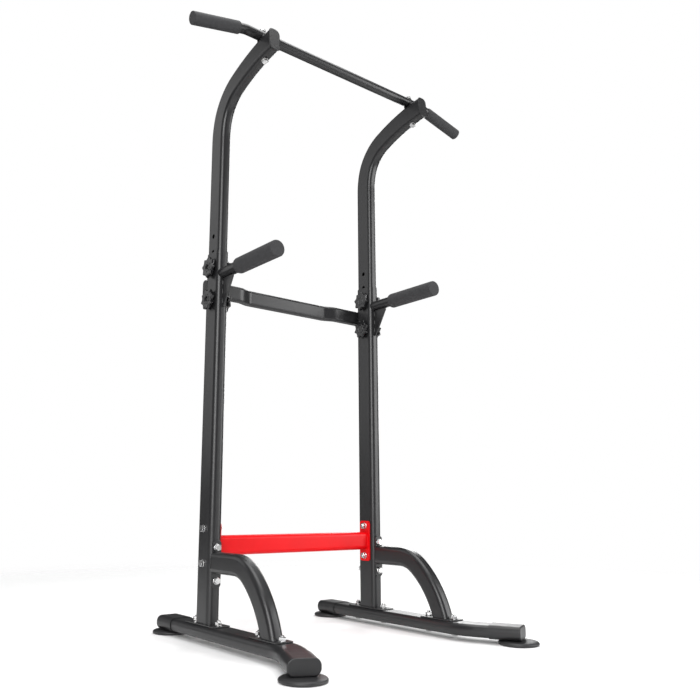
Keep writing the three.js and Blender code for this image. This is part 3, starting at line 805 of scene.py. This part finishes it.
def makeBackBar():
    low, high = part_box("back_bar")
    turn = radians(backBar["turn"])
    bendLength = backBar["bendRadius"] * sin(turn)
    slant = (backBar["recess"] - 2 * backBar["bendRadius"] * (1 - cos(turn))) / sin(turn)
    centreLength = 2 * (high.x - backBar["outer"] - 2 * bendLength - slant * cos(turn))
    step = [[backBar["bendRadius"], backBar["turn"]], [slant], [backBar["bendRadius"], -backBar["turn"]]]
    stepBack = [[size, *[-angle for angle in bend]] for size, *bend in step]
    start = Vector((low.x, low.y + backBar["depth"] / 2, (low.z + high.z) / 2))
    legs = [[backBar["outer"]], *step, [centreLength], *stepBack, [backBar["outer"]]]
    size = (backBar["depth"], backBar["height"])
    tube, end, _ = flatTube("rear_bar", start, alongX, alongZ, size, backBar["corner"], legs)
    fit(tube, "back_bar")
    endPlug = flatPlate("plug", end + alongX * gap, alongX, alongZ, size, backBar["corner"], plug["lip"],
                        plug["soft"])
    fitBoth(roundRims(endPlug, alongX, plug["edge"], True, 4), "back_bar_plug")
    rear = Vector((uprightX, start.y + backBar["depth"] / 2, 0))
    for side, row in ((1, "upper"), (-1, "lower")):
        place = rear + alongZ * (start.z + side * backBar["studSpread"])
        nutFace = gap / mm + screwSize["washer"]
        nutEnd = nutFace + screwSize["nut"]
        nut = joined(f"back_nut_{row}_right",
                     washer(place, alongY, gap / mm, nutFace, backBar["washerRadius"]),
                     hexagon(place, alongY, nutFace, nutEnd),
                     thread(place, alongY, nutFace, nutEnd + screwSize["tip"]))
        fit(copied(nut, f"back_nut_{row}_left", toMirror), "back_bar", "zinc_steel")
        fit(nut, "back_bar", "zinc_steel")


dip = {"radius": 17, "gripRadius": 24, "gripLength": 197, "end": 6, "inside": 10 * mm}
gusset = {"thickness": 5 * mm, "reach": 55 * mm, "edge": 6 * mm, "low": 952 * mm, "seat": 0.9 * mm,
          "soft": 0.5 * mm, "welds": (0.12, 0.44, 0.76), "weldLength": 15 * mm, "weldRadius": 2.6}


def makeDipHandles():
    low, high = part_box("dip_grip_right")
    centre = (low + high) / 2
    face = uprightY - column["depth"] / 2
    start = Vector((uprightX, face + dip["inside"], centre.z))
    length = (start.y - low.y) / mm - dip["end"]
    tube = turned("dipTube", start, toFront, [(dip["radius"], 0), (dip["radius"], length)], 56)
    top = centre.z - dip["radius"] * mm + bite
    clearSelection()
    bpy.ops.mesh.primitive_cube_add(size=1)
    height = top - gusset["low"]
    depth = gusset["reach"] + dip["inside"]
    web = bpy.context.active_object
    web.matrix_world = (Matrix.Translation((uprightX, start.y - depth / 2, top - height / 2))
                        @ Matrix.Diagonal((gusset["thickness"], depth, height, 1)))
    bpy.ops.object.transform_apply(location=True, rotation=True, scale=True)
    edit()
    corner = Vector((uprightX, face - gusset["reach"], top - gusset["edge"]))
    toe = Vector((uprightX, face - gusset["edge"], gusset["low"]))
    slope = (toe - corner).normalized()
    bpy.ops.mesh.bisect(plane_co=corner, plane_no=slope.cross(alongX), clear_outer=True, use_fill=True)
    web = roundRims(finishEdit("web"), alongX, gusset["soft"])
    room = (column["depth"] + gap, column["width"] + gap)
    below = Vector((uprightX, uprightY, gusset["low"] - 50 * mm))
    for part in (tube, web):       # both end against the upright's outside
        core, _, _ = flatTube("core", below, alongZ, alongX, room, column["corner"] + gap / 2, [[250 * mm]])
        cutAway(part, core)
    welds = []
    for share in gusset["welds"]:
        for side in (-1, 1):
            weldX = uprightX + side * gusset["thickness"] / 2
            weldStart = Vector((weldX, face - gusset["seat"], gusset["low"] + share * height))
            weldEnd = weldStart + alongZ * gusset["weldLength"]
            welds.append(bead(weldStart, weldEnd, gusset["weldRadius"]))
    fitBoth(joined("dipHandle", tube, web, *welds), "dip_handle")
    r, long = dip["gripRadius"], dip["gripLength"]
    inner, floor = dip["radius"] + gap / mm, dip["end"] - gap / mm
    profile = [(r - 8, 0.6), (r - 6.4, 0.2), (r - 5.6, 0), (r - 2.2, 0.3), (r - 0.7, 1.3), (r, 3.2),
               (r, long / 2), (r, long - 7), (r - 0.9, long - 3.6), (r - 3, long - 1.2), (r - 5.4, long),
               (inner, long - 0.4), (inner, floor), (1, floor)]
    tip = Vector((uprightX, low.y, centre.z))
    fitBoth(turned("dipGrip", tip, alongY, profile, 64), "dip_grip")


makeBackBar()
makeDipHandles()
print("back bar and dip handles made")

hook = {"depth": 70 * mm, "width": 35 * mm, "corner": 13 * mm, "wall": 2 * mm, "straight": 755 * mm,
        "bends": [[250 * mm, 14], [140 * mm, 53], [640 * mm, 17]], "tip": 14 * mm, "holes": 9,
        "lowestHole": 37.5 * mm, "holeRadius": 7, "pitch": 50 * mm}
hookCap = {"thickness": 4 * mm, "edge": 1.8 * mm, "soft": 0.2}
bar = {"radius": 15, "place": (0, -66 * mm, 1743.5 * mm), "bendX": 368 * mm, "droop": 13,
       "bendRadius": 60 * mm}
barGrip = {"radius": 18.5, "start": 390, "length": 156, "end": 5}
cradle = {"along": 24 * mm, "across": 32 * mm, "drop": 7 * mm, "corner": 3 * mm, "reach": 40}


# Gives the point on the hook's centre line whose normal runs through the bar, and that normal.
def hookSeat(start, barCentre):
    point = start + alongZ * hook["straight"]
    direction = alongZ.copy()
    for radius, degrees in hook["bends"]:
        centre = point + alongX.cross(direction) * radius
        spoke = barCentre - centre
        turn = (point - centre).angle(spoke)
        if turn <= radians(degrees):
            return centre + spoke.normalized() * radius, spoke.normalized()
        rotation = Matrix.Rotation(radians(degrees), 3, alongX)
        point = centre + rotation @ (point - centre)
        direction = rotation @ direction
    raise ValueError("the pull-up bar is not over the hook")


def makeHooks():
    start = Vector((uprightX, uprightY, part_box("upper_tube_right")[0].z))
    legs = [[hook["straight"]], *hook["bends"], [hook["tip"]]]
    size = (hook["depth"], hook["width"])
    tube, end, outwards = flatTube("hookTube", start, alongZ, alongX, size, hook["corner"], legs)
    hollowed(tube, [start, end], hook["wall"])
    for number in range(hook["holes"]):
        boreAcross(tube, start + alongZ * (hook["lowestHole"] + number * hook["pitch"]), hook["holeRadius"])
    barCentre = Vector((uprightX, *bar["place"][1:]))
    seat, normal = hookSeat(start, barCentre)
    reach = (barCentre - seat).length
    low = hook["depth"] / 2 - bite
    high = reach - cradle["drop"]
    blockSize = (cradle["across"], cradle["along"])
    block = flatPlate("cradle", seat + normal * low, normal, alongX, blockSize, cradle["corner"], high - low)
    room, span = bar["radius"] + gap / mm, cradle["reach"]
    barStart = barCentre - alongX * span * mm
    cutAway(block, turned("barRoom", barStart, alongX, [(room, 0), (room, 2 * span)], 64))
    fitBoth(joined("hookTube", tube, block), "upper_tube")
    lid = flatPlate("lid", end + outwards * gap, outwards, alongX, size, hook["corner"],
                    hookCap["thickness"], hookCap["soft"])
    fitBoth(roundRims(lid, outwards, hookCap["edge"], True, 4), "upper_cap")
    under = seat - normal * hook["depth"] / 2
    grip = (reach + hook["depth"] / 2) / mm + bar["radius"]
    fitBoth(throughBolt(under, normal, grip), "bar_bolt")


def makePullUpBar():
    droop = radians(bar["droop"])
    tangent = bar["bendRadius"] * tan(droop / 2)
    gripEnd = (barGrip["start"] + barGrip["length"] * cos(droop) - barGrip["end"]) * mm - gap
    sloped = (gripEnd - bar["bendX"]) / cos(droop) - tangent
    drop = (gripEnd - bar["bendX"]) * tan(droop)
    _, y, z = bar["place"]
    start = Vector((-gripEnd, y, z - drop))
    heading = Vector((cos(droop), 0, sin(droop)))
    startCircle(start, heading, bar["radius"] * mm, 48)
    bend = [bar["bendRadius"], bar["droop"]]
    legs = [[sloped], bend, [2 * (bar["bendX"] - tangent)], bend, [sloped]]
    end, outwards = follow(start, heading, alongY, legs)
    fit(finishEdit("top_bar"), "pull_up_bar")
    r, long, thick = barGrip["radius"], barGrip["length"], barGrip["end"]
    inner = bar["radius"] + gap / mm
    profile = [(r - 6.5, 0.5), (r - 5.8, 0.2), (r - 5, 0), (r - 1.4, 0.2), (r - 0.4, 0.9), (r, 2),
               (r, long / 2), (r, long - 4), (r - 0.6, long - 1.6), (r - 1.8, long - 0.3), (inner, long),
               (inner, thick), (1, thick)]
    fitBoth(turned("barGrip", end + outwards * (thick * mm + gap), -outwards, profile, 56), "bar_grip")


makeHooks()
makePullUpBar()
print("upper frame made")

knob = {"radius": 32.5, "scallop": 6.5, "lobes": 8, "thickness": 12, "hub": 13, "hubHeight": 3, "bore": 5.3,
        "sink": 4, "plainStud": 24, "studRadius": 4.9, "turns": {"upper": 9, "lower": 31}}
knobWasher = {"radius": 12, "bore": 6, "thickness": 1.6, "edge": 0.3}


# A star knob: a coarse outline with every other corner drawn in, rounded by subdivision.
def star(place, heading):
    corners = 2 * knob["lobes"]
    spread = cos(2 * pi / corners)
    peak, valley = knob["radius"], knob["radius"] - knob["scallop"]
    outer = (12 * peak - 6 * spread * valley) / (8 - 2 * spread ** 2)   # where subdivision settles on peak
    inner = (6 * valley - 2 * spread * outer) / 4
    bottom, top = knob["hubHeight"], knob["hubHeight"] + knob["thickness"]
    layers = [(0.55, bottom), (0.9, bottom), (1, bottom + 1.4), (1, top - 2), (0.93, top - 0.2), (0.8, top),
              (0.5, top - 0.6), (0.4, top - 1), (0.4, top - 7)]       # shares of the outline, and heights
    startCircle(place + heading * bottom * mm, heading, outer * layers[0][0] * mm, corners)
    piece = bpy.context.active_object
    bpy.ops.mesh.select_mode(type="VERT")
    bpy.ops.mesh.select_all(action="DESELECT")
    bpy.ops.object.mode_set(mode="OBJECT")
    for vertex in piece.data.vertices:
        vertex.select = vertex.index % 2 == 1
    bpy.ops.object.mode_set(mode="EDIT")
    resize(inner / outer, place + heading * bottom * mm)
    bpy.ops.mesh.select_mode(type="FACE")
    bpy.ops.mesh.select_all(action="SELECT")
    for index in range(1, len(layers)):
        (scale, height), (before, low) = layers[index], layers[index - 1]
        extrude(heading * (height - low) * mm)
        resize(scale / before, place + heading * height * mm)
    finishEdit("star")
    modifier = piece.modifiers.new("smooth", "SUBSURF")
    modifier.levels = modifier.render_levels = 3
    bpy.ops.object.modifier_apply(modifier=modifier.name)
    reach = max((vertex.co - place).cross(heading).length for vertex in piece.data.vertices)
    grow = knob["radius"] * mm / reach             # subdivision draws the lobes in a little
    along = Matrix.Scale(1 / grow, 4, heading) @ Matrix.Scale(grow, 4)
    piece.data.transform(Matrix.Translation(place) @ along @ Matrix.Translation(-place))
    bpy.ops.object.shade_smooth_by_angle(angle=radians(50))
    return piece


# The round hub behind the lobes, and the cup in their middle, which is deeper where a stud shows.
def hubAndCup(place, heading, bored):
    r, top = knob["hub"], knob["hubHeight"] + knob["thickness"]
    hub = turned("hub", place, heading, [(r - 0.6, 0), (r, 0.6), (r, knob["hubHeight"] + 1)], 48)
    cup = [(13.6, top - 8), (13.6, top - 0.6), (13, top), (10.6, top), (9.9, top - 0.7)]
    if bored:
        cup += [(6.8, top - 1.5), (6.2, top - 2.2), (6.2, top - 7.4), (1, top - 7.4)]
    else:
        cup += [(1, top - 1.2)]
    return [hub, turned("cup", place, heading, cup, 48)]


# A star knob with a hole right through it for its stud.
def nutKnob(place, heading):
    parts = [star(place, heading), *hubAndCup(place, heading, True)]
    reach = knob["hubHeight"] + knob["thickness"]
    for part in parts:
        bore = turned("bore", place, heading, [(knob["bore"], -2), (knob["bore"], reach + 2)], 32)
        cutAway(part, bore)
    return joined("nutKnob", *parts)


def makeClamps():
    half = column["width"] / 2 + gap
    knobStart = half + knobWasher["thickness"] * mm + gap
    origin = Vector()
    nut = nutKnob(origin, alongX)
    studEnd = (half + knobStart) / mm + knob["hubHeight"] + knob["thickness"] - knob["sink"]
    studRadius, plain = knob["studRadius"], knob["plainStud"]
    grip = joined("studKnob", star(origin, -alongX), *hubAndCup(origin, -alongX, False),
                  turned("stud", origin, alongX, [(studRadius, -1), (studRadius, plain)], 24),
                  thread(origin, alongX, plain, studEnd))
    r, bore, thick, edge = (knobWasher[key] for key in ("radius", "bore", "thickness", "edge"))
    disc = turned("disc", origin, alongX, [(bore, 0), (r - edge, 0), (r, edge), (r, thick - edge),
                                           (r - edge, thick), (bore, thick)], 48)
    for row in ("upper", "lower"):
        z = middle(f"clamp_knob_{row}_right").z
        out = Vector((uprightX, uprightY, z))
        turn = Matrix.Rotation(radians(knob["turns"][row]), 4, "X")
        nutPlace = Matrix.Translation(out + alongX * knobStart) @ turn
        gripPlace = Matrix.Translation(out - alongX * half) @ turn
        fitBoth(copied(nut, "nutKnobTwin", nutPlace), f"clamp_knob_{row}")
        fitBoth(copied(grip, "studKnobTwin", gripPlace), f"clamp_bolt_{row}")
        fitBoth(copied(disc, "discTwin", Matrix.Translation(out + alongX * half)), f"clamp_washer_{row}")
    for spare in (nut, grip, disc):
        bpy.data.objects.remove(spare)


makeClamps()
print("clamps made")
